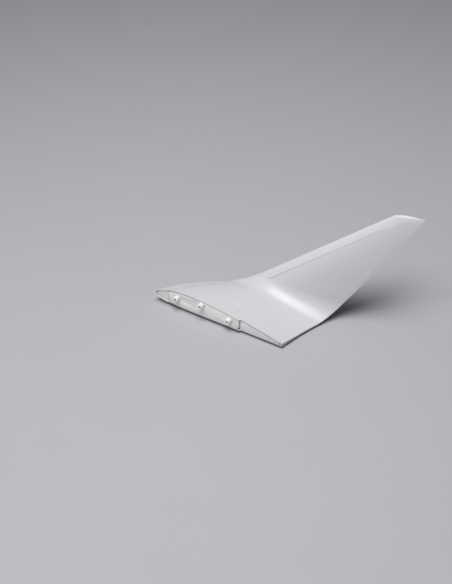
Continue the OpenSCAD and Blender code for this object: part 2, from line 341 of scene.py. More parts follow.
class LoftTree:
    """A Geometry Nodes tree with named inputs, run once to make a plain mesh."""

    def __init__(self, name: str) -> None:
        """Start an empty tree with a mesh output.

        Args:
            name: The tree's name.
        """
        self.tree = bpy.data.node_groups.new(name, "GeometryNodeTree")
        self.graph = Graph(self.tree)
        self.tree.interface.new_socket("Mesh", in_out="OUTPUT", socket_type="NodeSocketGeometry")
        self.source = self.tree.nodes.new("NodeGroupInput")
        self.values: dict[str, float] = {}

    def size(self, name: str, value: float) -> Wire:
        """Add a named input.

        Args:
            name: What the input is called in the tree.
            value: The value that the modifier sets it to.

        Returns:
            The input as a wire.
        """
        socket = self.tree.interface.new_socket(name, in_out="INPUT", socket_type="NodeSocketFloat")
        self.values[socket.identifier] = value
        return Wire(self.graph, self.source.outputs[name])

    def close(self, columns: int, rows: int, place: Wire, marks: dict[str, Wire],
              material: bpy.types.Material) -> None:
        """Lay a grid of points at its places, weld it, dress it and end the tree.

        Args:
            columns: Points round the section.
            rows: Points along the span.
            place: Where each point of the grid goes, in metres.
            marks: Values that the finish reads, by attribute name.
            material: The finish.
        """
        graph = self.graph
        mesh = graph.wire("GeometryNodeMeshGrid", None,
                          {"Size X": 1.0, "Size Y": 1.0, "Vertices X": columns, "Vertices Y": rows})
        for name, value in marks.items():
            mesh = graph.wire("GeometryNodeStoreNamedAttribute", {"data_type": "FLOAT", "domain": "POINT"},
                              {"Geometry": mesh, "Name": name, "Value": value})
        mesh = graph.wire("GeometryNodeSetPosition", None, {"Geometry": mesh, "Position": place})
        mesh = graph.wire("GeometryNodeMergeByDistance", None, {"Geometry": mesh, "Distance": WELD})
        mesh = graph.wire("GeometryNodeRealizeInstances", None, {"Geometry": mesh})
        mesh = graph.wire("GeometryNodeSetMaterial", None, {"Geometry": mesh, "Material": material})
        graph.node("NodeGroupOutput", None, {0: mesh})

    def run(self, name: str) -> bpy.types.Object:
        """Evaluate the tree and keep the result as a plain mesh.

        Args:
            name: The piece's name.

        Returns:
            The piece, with no modifier left on it.
        """
        piece = linked(name, bpy.data.meshes.new(name))
        modifier = piece.modifiers.new("loft", "NODES")
        modifier.node_group = self.tree
        for identifier, value in self.values.items():
            modifier[identifier] = value
        return applied(piece, modifier)


class Lines:
    """The winglet's lines as fields of one tree, by the rules of its solids."""

    def __init__(self, loft: LoftTree, sizes: WingletSizes, corner: Vector) -> None:
        """Add the sizes to the tree and work out what all stations share.

        Args:
            loft: The tree that the lines are written in.
            sizes: The winglet's driving sizes.
            corner: Corner under the root's nose, in metres.
        """
        self.graph = loft.graph
        self.size = size = SimpleNamespace(
            **{item.name: loft.size(item.name, getattr(sizes, item.name)) for item in fields(sizes)})
        self.nose_x = loft.size("nose_x", corner.x / MM)
        self.floor_z = loft.size("floor_z", corner.z / MM)
        self.root_slope = size.root_sweep.tangent()
        self.fin_slope = size.fin_sweep.tangent()
        self.seam_slope = size.seam_sweep.tangent()
        self.rear_slope = size.te_root_sweep.tangent()
        self.bend_end = size.bend_start + size.bend_radius * self.graph.math("RADIANS", size.cant)
        self.band_start = size.span_length - size.tip_band
        self.turn_start = self.band_start - size.tip_band
        self.tip_share = size.tip_share_percent / 100
        self.peak = size.peak_percent / 100
        tip_front = self.front_line(size.span_length)
        missing = tip_front + size.tip_chord - size.root_chord - self.rear_slope * size.span_length
        self.rear_gain = missing / self.eased(size.span_length, size.te_blend)

    def eased(self, t: Wire, blend: Wire) -> Wire:
        """Length over which a new slope has acted, taken up smoothly over a blend length."""
        u = (t / blend).clamp()
        return blend * (u ** 3 - u ** 4 / 2) + (t - blend).most(0)

    def slope_run(self, t: Wire, first: Wire, last: Wire, blend: Wire) -> Wire:
        """A line whose slope changes smoothly from a first to a last one."""
        return first * t + (last - first) * self.eased(t, blend)

    def quarter(self, v: Wire) -> Wire:
        """Rise of a quarter circle from 0 to 1."""
        return 1 - (1 - v.clamp() ** 2).root()

    def front_line(self, t: Wire) -> Wire:
        """Leading edge in plan, before the tip is rounded."""
        return self.slope_run(t, self.root_slope, self.fin_slope, self.size.sweep_blend)

    def nose(self, t: Wire) -> Wire:
        """Leading edge in plan, with the tip's rounded corner.

        Args:
            t: Stations along the underside.

        Returns:
            Distance behind the root's nose.
        """
        size = self.size
        corner = self.quarter((t - size.span_length + size.tip_round) / size.tip_round)
        return self.front_line(t) + (size.tip_chord - size.tip_edge) * corner

    def rear(self, t: Wire) -> Wire:
        """Trailing edge in plan, with the fin's slight bow.

        Args:
            t: Stations along the underside.

        Returns:
            Distance behind the root's nose.
        """
        size = self.size
        v = ((t - self.bend_end) / (size.span_length - self.bend_end)).clamp()
        line = self.slope_run(t, self.rear_slope, self.rear_slope + self.rear_gain, size.te_blend)
        return size.root_chord + line + 4 * size.te_bow * v * (1 - v)

    def seam_depth(self, t: Wire) -> Wire:
        """Depth of the strip in front of the seam, before it turns along the tip."""
        line = self.slope_run(t, self.seam_slope, self.fin_slope, self.size.seam_blend)
        return self.size.strip_root + line - self.front_line(t)

    def seam(self, t: Wire) -> Wire:
        """Share of the chord at the seam behind the leading edge.

        Args:
            t: Stations along the underside.

        Returns:
            0 at the leading edge, up to 1 at the trailing edge.
        """
        plain = self.seam_depth(t) / (self.rear(t) - self.front_line(t))
        turned = self.quarter((t - self.turn_start) / self.size.tip_band)
        return plain + (self.tip_share - plain) * turned

    def skin_end(self) -> Wire:
        """Last station of the skins, where the seam has nearly reached the trailing edge.

        Returns:
            The station along the underside.
        """
        size = self.size
        edge = self.band_start
        share = self.seam_depth(edge) / (self.rear(edge) - self.front_line(edge))
        rise = (size.skin_stop_percent / 100 - share) / (self.tip_share - share)
        turned = edge - size.tip_band * self.quarter(1 - rise)
        return turned - self.gap(turned)

    def gap(self, t: Wire) -> Wire:
        """Width of the open seam, which closes along the bend and before the tip.

        Args:
            t: Stations along the underside.

        Returns:
            The width at each of them, in millimetres.
        """
        size = self.size
        tip = ((t - self.turn_start) / size.tip_band + 1).clamp()
        start = ((t - size.closed_from) / size.closing_run).clamp()
        end = ((size.closed_to - t) / size.closing_run).clamp()
        return size.seam_gap * (1 - size.seam_closing * tip.most(start * end))

    def stations(self, row: Wire, runs: list[Run]) -> Wire:
        """Station of each row along the underside.

        Args:
            row: The row's number.
            runs: Stretches of the span, in order.

        Returns:
            The station, in millimetres.
        """
        t = row * 0 + runs[0].start
        done = 0
        for run in runs:
            share = ((row - done) / run.rows).clamp()
            if run.pace is Pace.CLOSING:
                share = (share * 90).sine()
            t = t + (run.end - run.start) * share
            done += run.rows
        return t


class Station:
    """Sections at one field of stations, with what places them."""

    def __init__(self, lines: Lines, t: Wire) -> None:
        """Work out the section's size and where its foot stands.

        Args:
            lines: The winglet's lines.
            t: Stations along the underside.
        """
        size = lines.size
        self.lines = lines
        self.t = t
        self.nose = lines.nose(t)
        self.chord = lines.rear(t) - self.nose
        grown = (size.tip_thick_percent - size.root_thick_percent) * t / size.span_length
        self.thick = (size.root_thick_percent + grown) / 100
        self.flare = size.te_flare * (1 - (t / size.flare_length).least(1)) ** 2
        bent = lines.graph.math("DEGREES", (t - size.bend_start) / size.bend_radius).clamp(0, size.cant)
        self.sine = bent.sine()
        self.cosine = bent.cosine()
        past = (t - lines.bend_end).most(0)
        self.out = t.least(size.bend_start) + size.bend_radius * self.sine + past * size.cant.cosine()
        self.up = size.bend_radius * (1 - self.cosine) + past * size.cant.sine()

    def half(self, share: Wire) -> Wire:
        """Half of the section's thickness at a share of the chord.

        Args:
            share: Place behind the nose, as a share of the chord.

        Returns:
            The half thickness, as a share of the chord.
        """
        size = self.lines.size
        a, b, c, d, e = THICKNESS_CURVE
        curve = a * share.root() + b * share + c * share ** 2 + d * share ** 3 + e * share ** 4
        rear = (size.te_thick * share + self.flare * share ** 4) / size.root_chord
        return THICKNESS_SCALE * self.thick * curve + rear / 2

    def middle(self, share: Wire) -> Wire:
        """Height of the section's middle line, which leaves the underside flat behind the peak.

        Args:
            share: Place behind the nose, as a share of the chord.

        Returns:
            The height above the underside, as a share of the chord.
        """
        size, peak = self.lines.size, self.lines.peak
        nose = size.nose_rise_percent / size.root_thick_percent * self.thick
        front = nose + (self.half(peak) - nose) * (1 - (1 - (share / peak).least(1)) ** 2)
        return (share > peak).pick(self.half(share), front)

    def section(self, u: Wire) -> tuple[Wire, Wire]:
        """A point of the section, from the trailing edge under the nose to the one over it.

        Args:
            u: Signed root of the chord share, minus below and plus above.

        Returns:
            Place along the chord and height above the underside.
        """
        share = u * u
        side = self.lines.graph.math("SIGN", u)
        height = self.chord * (self.middle(share) + side * self.half(share))
        return self.nose + self.chord * share, height

    def inset(self, u: Wire, wall: Wire) -> tuple[Wire, Wire]:
        """The same point, moved in by a wall square to the surface.

        Args:
            u: Signed root of the chord share, minus below and plus above.
            wall: Thickness of the wall.

        Returns:
            Place along the chord and height above the underside.
        """
        step = 0.005
        x, height = self.section(u)
        after, before = self.section(u + step), self.section(u - step)
        dx, dh = after[0] - before[0], after[1] - before[1]
        length = (dx * dx + dh * dh).root()
        return x + wall * dh / length, height - wall * dx / length

    def place(self, x: Wire, height: Wire) -> Wire:
        """Point of a section in the part's frame.

        Args:
            x: Place along the chord.
            height: Height above the underside.

        Returns:
            The point, in metres.
        """
        lines = self.lines
        return lines.graph.vector((x + lines.nose_x) * MM, (self.out - height * self.sine) * MM,
                                  (self.up + height * self.cosine + lines.floor_z) * MM)


class Side(Enum):
    """Which of the two skins."""

    UPPER = 1
    LOWER = -1


class Wall(Enum):
    """How a piece is filled, by the number of sheets round it."""

    SOLID = 1
    HOLLOW = 2


@dataclass
class Ring:
    """Numbers of a grid that is wrapped round a wall and closed at both ends of the span.

    Attributes:
        graph: The tree that the grid is laid in.
        around: Points of one sheet.
        rows: Rows along the span.
        wall: Whether there is an inner sheet too.
    """

    graph: Graph
    around: int
    rows: int
    wall: Wall

    @property
    def columns(self) -> int:
        """Points of the whole ring, with its first one repeated."""
        return self.wall.value * self.around + 1

    def numbers(self) -> tuple[Wire, Wire, Wire, Wire]:
        """Read each point's numbers from its place in the flat grid.

        Returns:
            Point in its sheet, row, 1 on the inner sheet, and 1 on the rows that close the ends.
        """
        across, along, _ = self.graph.split(self.graph.wire("GeometryNodeInputPosition"))
        last = self.columns - 1
        column = ((across + 0.5) * last).rounded()
        column = column - last * (column > last - 0.5)
        inner = column > self.around - 0.5
        point = inner.pick(2 * self.around - 1 - column, column)
        line = ((along + 0.5) * (self.rows + 1)).rounded()
        closing = (line > self.rows + 0.5) + (0.5 - line > 0)
        return point, (line - 1).clamp(0, self.rows - 1), inner, closing


def shaped(name: str, shape: bmesh.types.BMesh, material: bpy.types.Material) -> bpy.types.Object:
    """Turn a shape into an object with one finish.

    Args:
        name: The object's name.
        shape: The shape, which is used up.
        material: The finish.

    Returns:
        The object.
    """
    mesh = bpy.data.meshes.new(name)
    shape.to_mesh(mesh)
    shape.free()
    mesh.materials.clear()
    mesh.materials.append(material)
    return linked(name, mesh)


def smoothed(piece: bpy.types.Object, crease_deg: float = 32.0) -> bpy.types.Object:
    """Turn a closed piece's faces outwards and shade it smooth up to its creases.

    Args:
        piece: A piece with a closed mesh.
        crease_deg: Angle from which an edge stays sharp.

    Returns:
        The same piece.
    """
    shape = bmesh.new()
    shape.from_mesh(piece.data)
    if shape.calc_volume(signed=True) < 0:
        bmesh.ops.reverse_faces(shape, faces=shape.faces)
    shape.to_mesh(piece.data)
    shape.free()
    piece.data.shade_smooth()
    piece.data.set_sharp_from_angle(angle=math.radians(crease_deg))
    return piece


def settle(piece: bpy.types.Object, slot: str, *nodes: str) -> None:
    """Put a piece on the part's one body, in place of its solids.

    Args:
        piece: The finished piece.
        slot: Not used.
        nodes: Solids that the piece stands for.
    """
    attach(piece, "root")
    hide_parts(*nodes)
    LOG.info("%s: %d faces for %s", piece.name, len(piece.data.polygons), ", ".join(nodes))


class Finish:
    """A procedural material that is being written."""

    def __init__(self, name: str) -> None:
        """Start a material with no nodes and the object's own coordinates.

        Args:
            name: The material's name.
        """
        self.material = bpy.data.materials.new(name)
        self.material.use_nodes = True
        self.material.node_tree.nodes.clear()
        self.graph = Graph(self.material.node_tree)
        self.here = self.graph.wire("ShaderNodeTexCoord", None, None, "Object")

    def noise(self, grain: float, detail: float = 2.0, place: Wire | None = None) -> Wire:
        """Soft random values about 0.5.

        Args:
            grain: Size of a patch, in millimetres.
            detail: Octaves of finer noise.
            place: Coordinates in metres, or none for the object's own.

        Returns:
            The value at each point.
        """
        return self.graph.wire("ShaderNodeTexNoise", None,
                               {"Vector": place or self.here, "Scale": 1 / (grain * MM), "Detail": detail})

    def mark(self, name: str) -> Wire:
        """Read a value that the loft has left on the surface."""
        return self.graph.wire("ShaderNodeAttribute", {"attribute_name": name}, None, "Fac")

    def blend(self, share: Wire, first: "Wire | Colour", second: "Wire | Colour") -> Wire:
        """Mix two colours.

        Args:
            share: 0 for the first colour, 1 for the second.
            first: Linear colour, or a wire that carries one.
            second: Linear colour, or a wire that carries one.

        Returns:
            The mixed colour.
        """
        ends = [end if isinstance(end, Wire) else (*end, 1.0) for end in (first, second)]
        return self.graph.wire("ShaderNodeMix", {"data_type": "RGBA"}, {0: share, 6: ends[0], 7: ends[1]}, 2)

    def close(self, colour: Wire, roughness: Wire, height: Wire, relief: float,
              **constants: float) -> bpy.types.Material:
        """End the material in one surface shader.

        Args:
            colour: Base colour.
            roughness: Roughness.
            height: Relief as values about 0 to 1.
            relief: Height of the relief, in millimetres.
            constants: Inputs that are the same all over, with _ for a space in the name.

        Returns:
            The finished material.
        """
        bump = self.graph.wire("ShaderNodeBump", None,
                               {"Strength": 1.0, "Distance": relief * MM, "Height": height}, "Normal")
        shader = self.graph.node("ShaderNodeBsdfPrincipled", None,
                                 {"Base Color": colour, "Roughness": roughness, "Normal": bump})
        for name, value in constants.items():
            shader.inputs[name.replace("_", " ")].default_value = value
        self.graph.node("ShaderNodeOutputMaterial", None, {"Surface": shader.outputs[0]})
        return self.material


@dataclass(frozen=True)
class SoftLine:
    """A line on the surface that fades at its sides and ends, in millimetres.

    Attributes:
        ends: Where it starts and stops.
        fades: Lengths over which it starts and stops.
        width: Its whole width.
        strength: Share of the line's own colour on it.
    """

    ends: tuple[float, float]
    fades: tuple[float, float]
    width: float
    strength: float

    def share(self, along: Wire, beside: Wire) -> Wire:
        """How much of the line is at each point.

        Args:
            along: Place along the line.
            beside: Distance from it.

        Returns:
            1 on the line, 0 from half its width on and past its ends.
        """
        starts = ((along - self.ends[0]) / self.fades[0]).clamp()
        stops = ((self.ends[1] - along) / self.fades[1]).clamp()
        return (1 - abs(beside) * 2 / self.width).clamp() * starts * stops


@dataclass(frozen=True)
class GlossWhite:
    """Gloss white moulding with soft waves, bare root edges and ghosts of what is under it, with painted
    shade in the open seams, in the ghost leg and on the lower skin's root edge, painted highlights on the
    ghost ridge and along the seam before the tip, and a dark joint line along the fin's trailing edge.

    Attributes:
        dark_joint_and_shade: Colour of the painted shade in the seams, in the ghost leg and on the lower
            skin's and inner sheets' root edges, and of the dark joint line along the fin's trailing edge.
        bare_and_highlight: Colour of the upper skin's and the strips' root edges, which are bare white
            plastic, and of the painted highlights on the ghost ridge and along the seam before the tip.
        gloss: The shader's specular level.
        rough_spread: How far patches and fine grain change the roughness.
        relief: Height of the waves.
        peel_height: Height of the fine grain, as a share of the waves.
        line_height: Height of the ridge and depth of the leg, as a share of the waves.
        fin_seam: Painted shade in the open seam on the fin, by station along the underside.
        fin_fading: Strength that it loses for each millimetre outboard.
        tip_seam_highlight: Painted highlight along the seam before the tip, by station.
        root_seam: Painted shade in the seam at the root, broken into dashes, by station.
        break_level: Random value from which that seam gets its painted shade.
        break_slope: How sharply its breaks end.
        ridge: The ridge over the peg block, a relief with a painted highlight on it, by distance behind the
            leading edge.
        ridge_span: Station of the ridge's rear end, and its move outboard for each millimetre forward.
        leg: The dip from the ridge's rear end to the root, a relief with painted shade in it, by station.
        leg_place: The leg's distance behind the ridge, and its move forward for each millimetre outboard.
        rear_line: The thin line in front of the fin's trailing edge, by station.
        rear_depth: Distance of that line from the trailing edge.
        cut_depth: Distance from the root's plane at which the root edge's colour ends: bare white, and
            painted shade on the lower skin.
        cut_fade: Length over which it ends.
    """

    name: str = "gloss_white_skin"
    colour: Colour = (0.563, 0.56, 0.587)
    deep: Colour = (0.535, 0.532, 0.558)
    dark_joint_and_shade: Colour = (0.26, 0.26, 0.265)
    bare_and_highlight: Colour = (0.93, 0.93, 0.915)
    gloss: float = 0.4
    roughness: float = 0.3
    rough_spread: float = 0.06
    relief: float = 0.08
    patch_grain: float = 24.0
    wave_grain: float = 7.0
    peel_grain: float = 1.6
    peel_height: float = 0.03
    line_height: float = 0.3
    fin_seam: SoftLine = SoftLine((77.9, 158.0), (0.8, 0.8), 1.1, 1.1)
    fin_fading: float = 0.004
    tip_seam_highlight: SoftLine = SoftLine((160.5, 169.0), (1.5, 1.5), 1.1, 0.5)
    root_seam: SoftLine = SoftLine((11.0, 39.0), (1.5, 1.5), 1.1, 0.9)
    break_grain: float = 5.0
    break_level: float = 0.42
    break_slope: float = 6.0
    ridge: SoftLine = SoftLine((34.0, 82.5), (14.0, 2.0), 1.8, 0.2)
    ridge_span: tuple[float, float] = (16.7, 0.06)
    leg: SoftLine = SoftLine((3.0, 12.5), (1.0, 1.0), 1.2, 0.24)
    leg_place: tuple[float, float] = (0.8, 0.06)
    rear_line: SoftLine = SoftLine((95.0, 166.0), (8.0, 8.0), 0.9, 0.4)
    rear_depth: float = 1.7
    cut_depth: float = 0.05
    cut_fade: float = 0.03

    def seam_shade_and_joint(self, made: Finish, span: Wire) -> Wire:
        """Painted shade in the open seams, and the dark joint line along the fin's trailing edge.

        Args:
            made: The material that is being written.
            span: Station along the underside.

        Returns:
            0 where nothing is painted, up to 1.
        """
        seam = made.mark("seam")
        lumps = made.noise(self.break_grain, 1.0, made.graph.vector(span * MM, 0.0, 0.0))
        breaks = ((lumps - self.break_level) * self.break_slope).clamp()
        fin = self.fin_seam.share(span, seam) * (self.fin_seam.strength - span * self.fin_fading)
        root = self.root_seam.share(span, seam) * breaks * self.root_seam.strength
        rear = self.rear_line.share(span, made.mark("fore") - self.rear_depth) * self.rear_line.strength
        return (fin + root + rear * made.mark("upper")).clamp()

    def ghosts(self, made: Finish, span: Wire) -> tuple[Wire, Wire]:
        """Ridge and leg that show the peg block through the upper skin, which also carry a painted highlight
        on the ridge and painted shade in the leg.

        Args:
            made: The material that is being written.
            span: Station along the underside.

        Returns:
            The ridge and the leg, each 0 to 1.
        """
        aft, upper = made.mark("aft"), made.mark("upper")
        rear = self.ridge.ends[1]
        ridge = self.ridge.share(aft, span - self.ridge_span[0] - (rear - aft) * self.ridge_span[1])
        turned = aft - rear - self.leg_place[0] + (span - self.leg.ends[0]) * self.leg_place[1]
        return ridge * upper, self.leg.share(span, turned) * upper

    def material(self) -> bpy.types.Material:
        """Write the finish.

        Returns:
            The finished material.
        """
        made = Finish(self.name)
        span, upper = made.mark("span"), made.mark("upper")
        patches = made.noise(self.patch_grain, 3.0)
        waves, peel = made.noise(self.wave_grain, 1.0), made.noise(self.peel_grain, 2.0)
        ridge, leg = self.ghosts(made, span)
        # Painted highlight along the seam before the tip.
        light = self.tip_seam_highlight.share(span, made.mark("seam")) * self.tip_seam_highlight.strength
        cut = ((self.cut_depth * MM - made.graph.split(made.here)[1]) / (self.cut_fade * MM)).clamp()
        colour = made.blend(patches, self.colour, self.deep)
        # Painted highlight on the ghost ridge and along the seam before the tip.
        colour = made.blend((ridge * self.ridge.strength + light).clamp(), colour, self.bare_and_highlight)
        # Painted shade in the open seams and in the ghost leg, and the dark joint line along the fin's
        # trailing edge.
        colour = made.blend((self.seam_shade_and_joint(made, span) + leg * self.leg.strength).clamp(), colour, self.dark_joint_and_shade)
        # Root edge faces: bare white plastic on the upper skin and the strips, painted shade on the lower
        # skin and the inner sheets.
        colour = made.blend(cut, colour, made.blend(upper, self.dark_joint_and_shade, self.bare_and_highlight))
        rough = self.roughness + peel.swing(self.rough_spread) + patches.swing(self.rough_spread)
        height = waves + peel * self.peel_height + ridge * self.line_height - leg * self.line_height
        return made.close(colour, rough, height, self.relief, Specular_IOR_Level=self.gloss)


@dataclass(frozen=True)
class MilkyLens:
    """Milky, polished plastic of the light lens, with clouds of colour and a fine ripple."""

    name: str = "milky_lens"
    # A little lighter than the skin, like the strip: painted light on the leading edge.
    colour: Colour = (0.585, 0.583, 0.611)
    deep: Colour = (0.556, 0.554, 0.582)
    roughness: float = 0.3
    rough_spread: float = 0.1
    cloud_grain: float = 6.0
    ripple_grain: float = 3.0
    relief: float = 0.02
    coat: float = 0.15

    def material(self) -> bpy.types.Material:
        """Write the finish.

        Returns:
            The finished material.
        """
        made = Finish(self.name)
        clouds, ripple = made.noise(self.cloud_grain, 3.0), made.noise(self.ripple_grain, 1.0)
        colour = made.blend(clouds, self.colour, self.deep)
        rough = self.roughness + clouds.swing(self.rough_spread)
        return made.close(colour, rough, ripple, self.relief, Coat_Weight=self.coat)


@dataclass(frozen=True)
class MattPlate:
    """Matt off-white plate with mottling, cutter marks and a few flecks.

    Attributes:
        brush_stretch: Width of a cutter mark, as a share of its length along the chord.
        fleck_level: Random value from which there is a fleck.
        fleck_slope: How sharply a fleck ends.
        shades: Shares of mottling, cutter marks and flecks in the colour.
        heights: Shares of mottling, cutter marks and flecks in the relief.
    """

    name: str = "matt_plate"
    colour: Colour = (0.97, 0.97, 0.96)
    deep: Colour = (0.93, 0.93, 0.915)
    roughness: float = 0.62
    rough_spread: float = 0.2
    mottle_grain: float = 5.0
    brush_grain: float = 0.6
    brush_stretch: float = 0.12
    fleck_grain: float = 1.3
    fleck_level: float = 0.68
    fleck_slope: float = 9.0
    shades: tuple[float, float, float] = (0.7, 0.3, 0.8)
    heights: tuple[float, float, float] = (0.5, 0.25, -0.6)
    relief: float = 0.08

    def material(self) -> bpy.types.Material:
        """Write the finish.

        Returns:
            The finished material.
        """
        made = Finish(self.name)
        x, _, z = made.graph.split(made.here)
        mottle = made.noise(self.mottle_grain, 4.0)
        brushed = made.noise(self.brush_grain, 2.0, made.graph.vector(x * self.brush_stretch, 0.0, z))
        flecks = ((made.noise(self.fleck_grain, 1.0) - self.fleck_level) * self.fleck_slope).clamp()
        shade, height = (mottle * shares[0] + brushed * shares[1] + flecks * shares[2]
                         for shares in (self.shades, self.heights))
        colour = made.blend(shade.clamp(), self.colour, self.deep)
        return made.close(colour, self.roughness + mottle.swing(self.rough_spread), height, self.relief)


@dataclass(frozen=True)
class SatinPeg:
    """Satin white of the pegs, with a painted highlight: the free end painted brighter.

    Attributes:
        lit_end: Colour of the free end, a painted highlight.
        lit_end_from: Distance out from the root face at which the painted highlight starts.
        lit_end_fade: Length over which it becomes full.
        heights: Shares of clouds and grain in the relief.
    """

    name: str = "satin_peg"
    colour: Colour = (0.72, 0.72, 0.71)
    deep: Colour = (0.68, 0.68, 0.67)
    lit_end: Colour = (0.97, 0.97, 0.95)
    lit_end_from: float = 3.75
    lit_end_fade: float = 0.2
    roughness: float = 0.4
    rough_spread: float = 0.2
    cloud_grain: float = 2.5
    fine_grain: float = 0.35
    heights: tuple[float, float] = (0.4, 0.2)
    relief: float = 0.05

    def material(self) -> bpy.types.Material:
        """Write the finish.

        Returns:
            The finished material.
        """
        made = Finish(self.name)
        clouds, grain = made.noise(self.cloud_grain, 3.0), made.noise(self.fine_grain, 2.0)
        out = 0.0 - made.graph.split(made.here)[1]
        # The free end is painted brighter: a painted highlight.
        end = ((out - self.lit_end_from * MM) / (self.lit_end_fade * MM)).clamp()
        colour = made.blend(end, made.blend(clouds, self.colour, self.deep), self.lit_end)
        height = clouds * self.heights[0] + grain * self.heights[1]
        return made.close(colour, self.roughness + grain.swing(self.rough_spread), height, self.relief)


@dataclass(frozen=True)
class PlainCore:
    """Plain material of what the skins hide."""

    name: str = "plain_core"
    colour: Colour = (0.62, 0.62, 0.57)
    deep: Colour = (0.55, 0.55, 0.50)
    roughness: float = 0.75
    rough_spread: float = 0.1
    fine_grain: float = 1.2
    relief: float = 0.05

    def material(self) -> bpy.types.Material:
        """Write the finish.

        Returns:
            The finished material.
        """
        made = Finish(self.name)
        grain = made.noise(self.fine_grain, 4.0)
        colour = made.blend(grain, self.colour, self.deep)
        return made.close(colour, self.roughness + grain.swing(self.rough_spread), grain, self.relief)


@dataclass(frozen=True)
class PaleFloor:
    """Plain pale floor with wide, faint patches."""

    name: str = "pale_floor"
    colour: Colour = (0.396, 0.392, 0.415)
    deep: Colour = (0.386, 0.382, 0.404)
    roughness: float = 0.75
    rough_spread: float = 0.05
    patch_grain: float = 30.0
    rough_grain: float = 5.0
    fine_grain: float = 2.0
    relief: float = 0.01

    def material(self) -> bpy.types.Material:
        """Write the finish.

        Returns:
            The finished material.
        """
        made = Finish(self.name)
        colour = made.blend(made.noise(self.patch_grain, 3.0), self.colour, self.deep)
        rough = self.roughness + made.noise(self.rough_grain).swing(self.rough_spread)
        return made.close(colour, rough, made.noise(self.fine_grain), self.relief)


@dataclass
class Skins:
    """Upper and lower moulded skin, each a wall from the seam to the trailing edge."""

    sizes: WingletSizes
    corner: Vector
    finish: GlossWhite = field(default_factory=GlossWhite)
    front_points: int = 44
    rear_points: int = 18
    land_points: int = 3
    even_rows: int = 112
    tip_rows: int = 12

    def loft(self, side: Side, material: bpy.types.Material) -> LoftTree:
        """Write the tree of one skin.

        Args:
            side: Which skin.
            material: Its finish.

        Returns:
            The tree, ready to run.
        """
        tree = LoftTree(f"{side.name.lower()}_skin_loft")
        lines = Lines(tree, self.sizes, self.corner)
        size = lines.size
        sign = tree.size("side", side.value)
        around = self.front_points + self.rear_points + self.land_points + 2
        ring = Ring(tree.graph, around, self.even_rows + self.tip_rows + 1, Wall.HOLLOW)
        point, row, inner, closing = ring.numbers()
        lined = inner * (1 - closing)
        behind = point > self.front_points + 0.5
        runs = [Run(row * 0, lines.turn_start, self.even_rows),
                Run(lines.turn_start, lines.skin_end(), self.tip_rows, Pace.CLOSING)]
        t = lines.stations(row, runs).most(behind * size.root_step)
        at = Station(lines, t)
        seam = self.seam_root(lines, t)
        u = sign * (seam + (1 - seam) * self.spread(lines, point, behind))
        x, height = at.section(u)
        room = at.chord * at.half(u * u) - size.bond_gap / 2
        extra = size.te_flare * (u * u - size.land_percent / 100).most(0) / (1 - size.land_percent / 100)
        height = height - sign * lined * room.least(size.skin_wall + extra)
        marks = {"span": t, "aft": at.chord * u * u, "fore": at.chord * (1 - u * u),
                 "seam": at.chord * (u * u - seam * seam), "upper": (sign + 1) / 2 * (1 - lined)}
        tree.close(ring.columns, ring.rows + 2, at.place(x, height), marks, material)
        return tree

    def spread(self, lines: Lines, point: Wire, behind: Wire) -> Wire:
        """Place of each point between the seam and the trailing edge, with two at the root's step.

        Args:
            lines: The winglet's lines.
            point: The point's number in its sheet.
            behind: 1 behind the step, 0 in front of it.

        Returns:
            0 at the seam, 1 at the trailing edge.
        """
        size = lines.size
        start = self.seam_root(lines, point * 0)
        step = (size.rib_end_percent / 100).root()
        past = (size.rib_end_percent / 100 + size.step_run / size.root_chord).root()
        land = (size.land_percent / 100).root()
        front = start + (step - start) * point / self.front_points
        after = point - self.front_points - 1
        rear = past + (land - past) * (after / self.rear_points).least(1) \
            + (1 - land) * ((after - self.rear_points) / self.land_points).most(0)
        return (behind.pick(rear, front) - start) / (1 - start)

    @staticmethod
    def seam_root(lines: Lines, t: Wire) -> Wire:
        """Where the skins start behind the seam.

        Args:
            lines: The winglet's lines.
            t: Stations along the underside.

        Returns:
            Root of the chord share.
        """
        gap = lines.gap(t)
        share = lines.seam((t + gap).least(lines.band_start)) + gap / (lines.rear(t) - lines.nose(t))
        return share.root()

    def build(self) -> None:
        """Make both skins in place of their solids."""
        material = self.finish.material()
        for side in Side:
            name = f"{side.name.lower()}_skin"
            piece = smoothed(self.loft(side, material).run(f"{name}_moulding"))
            settle(piece, "skin", name)


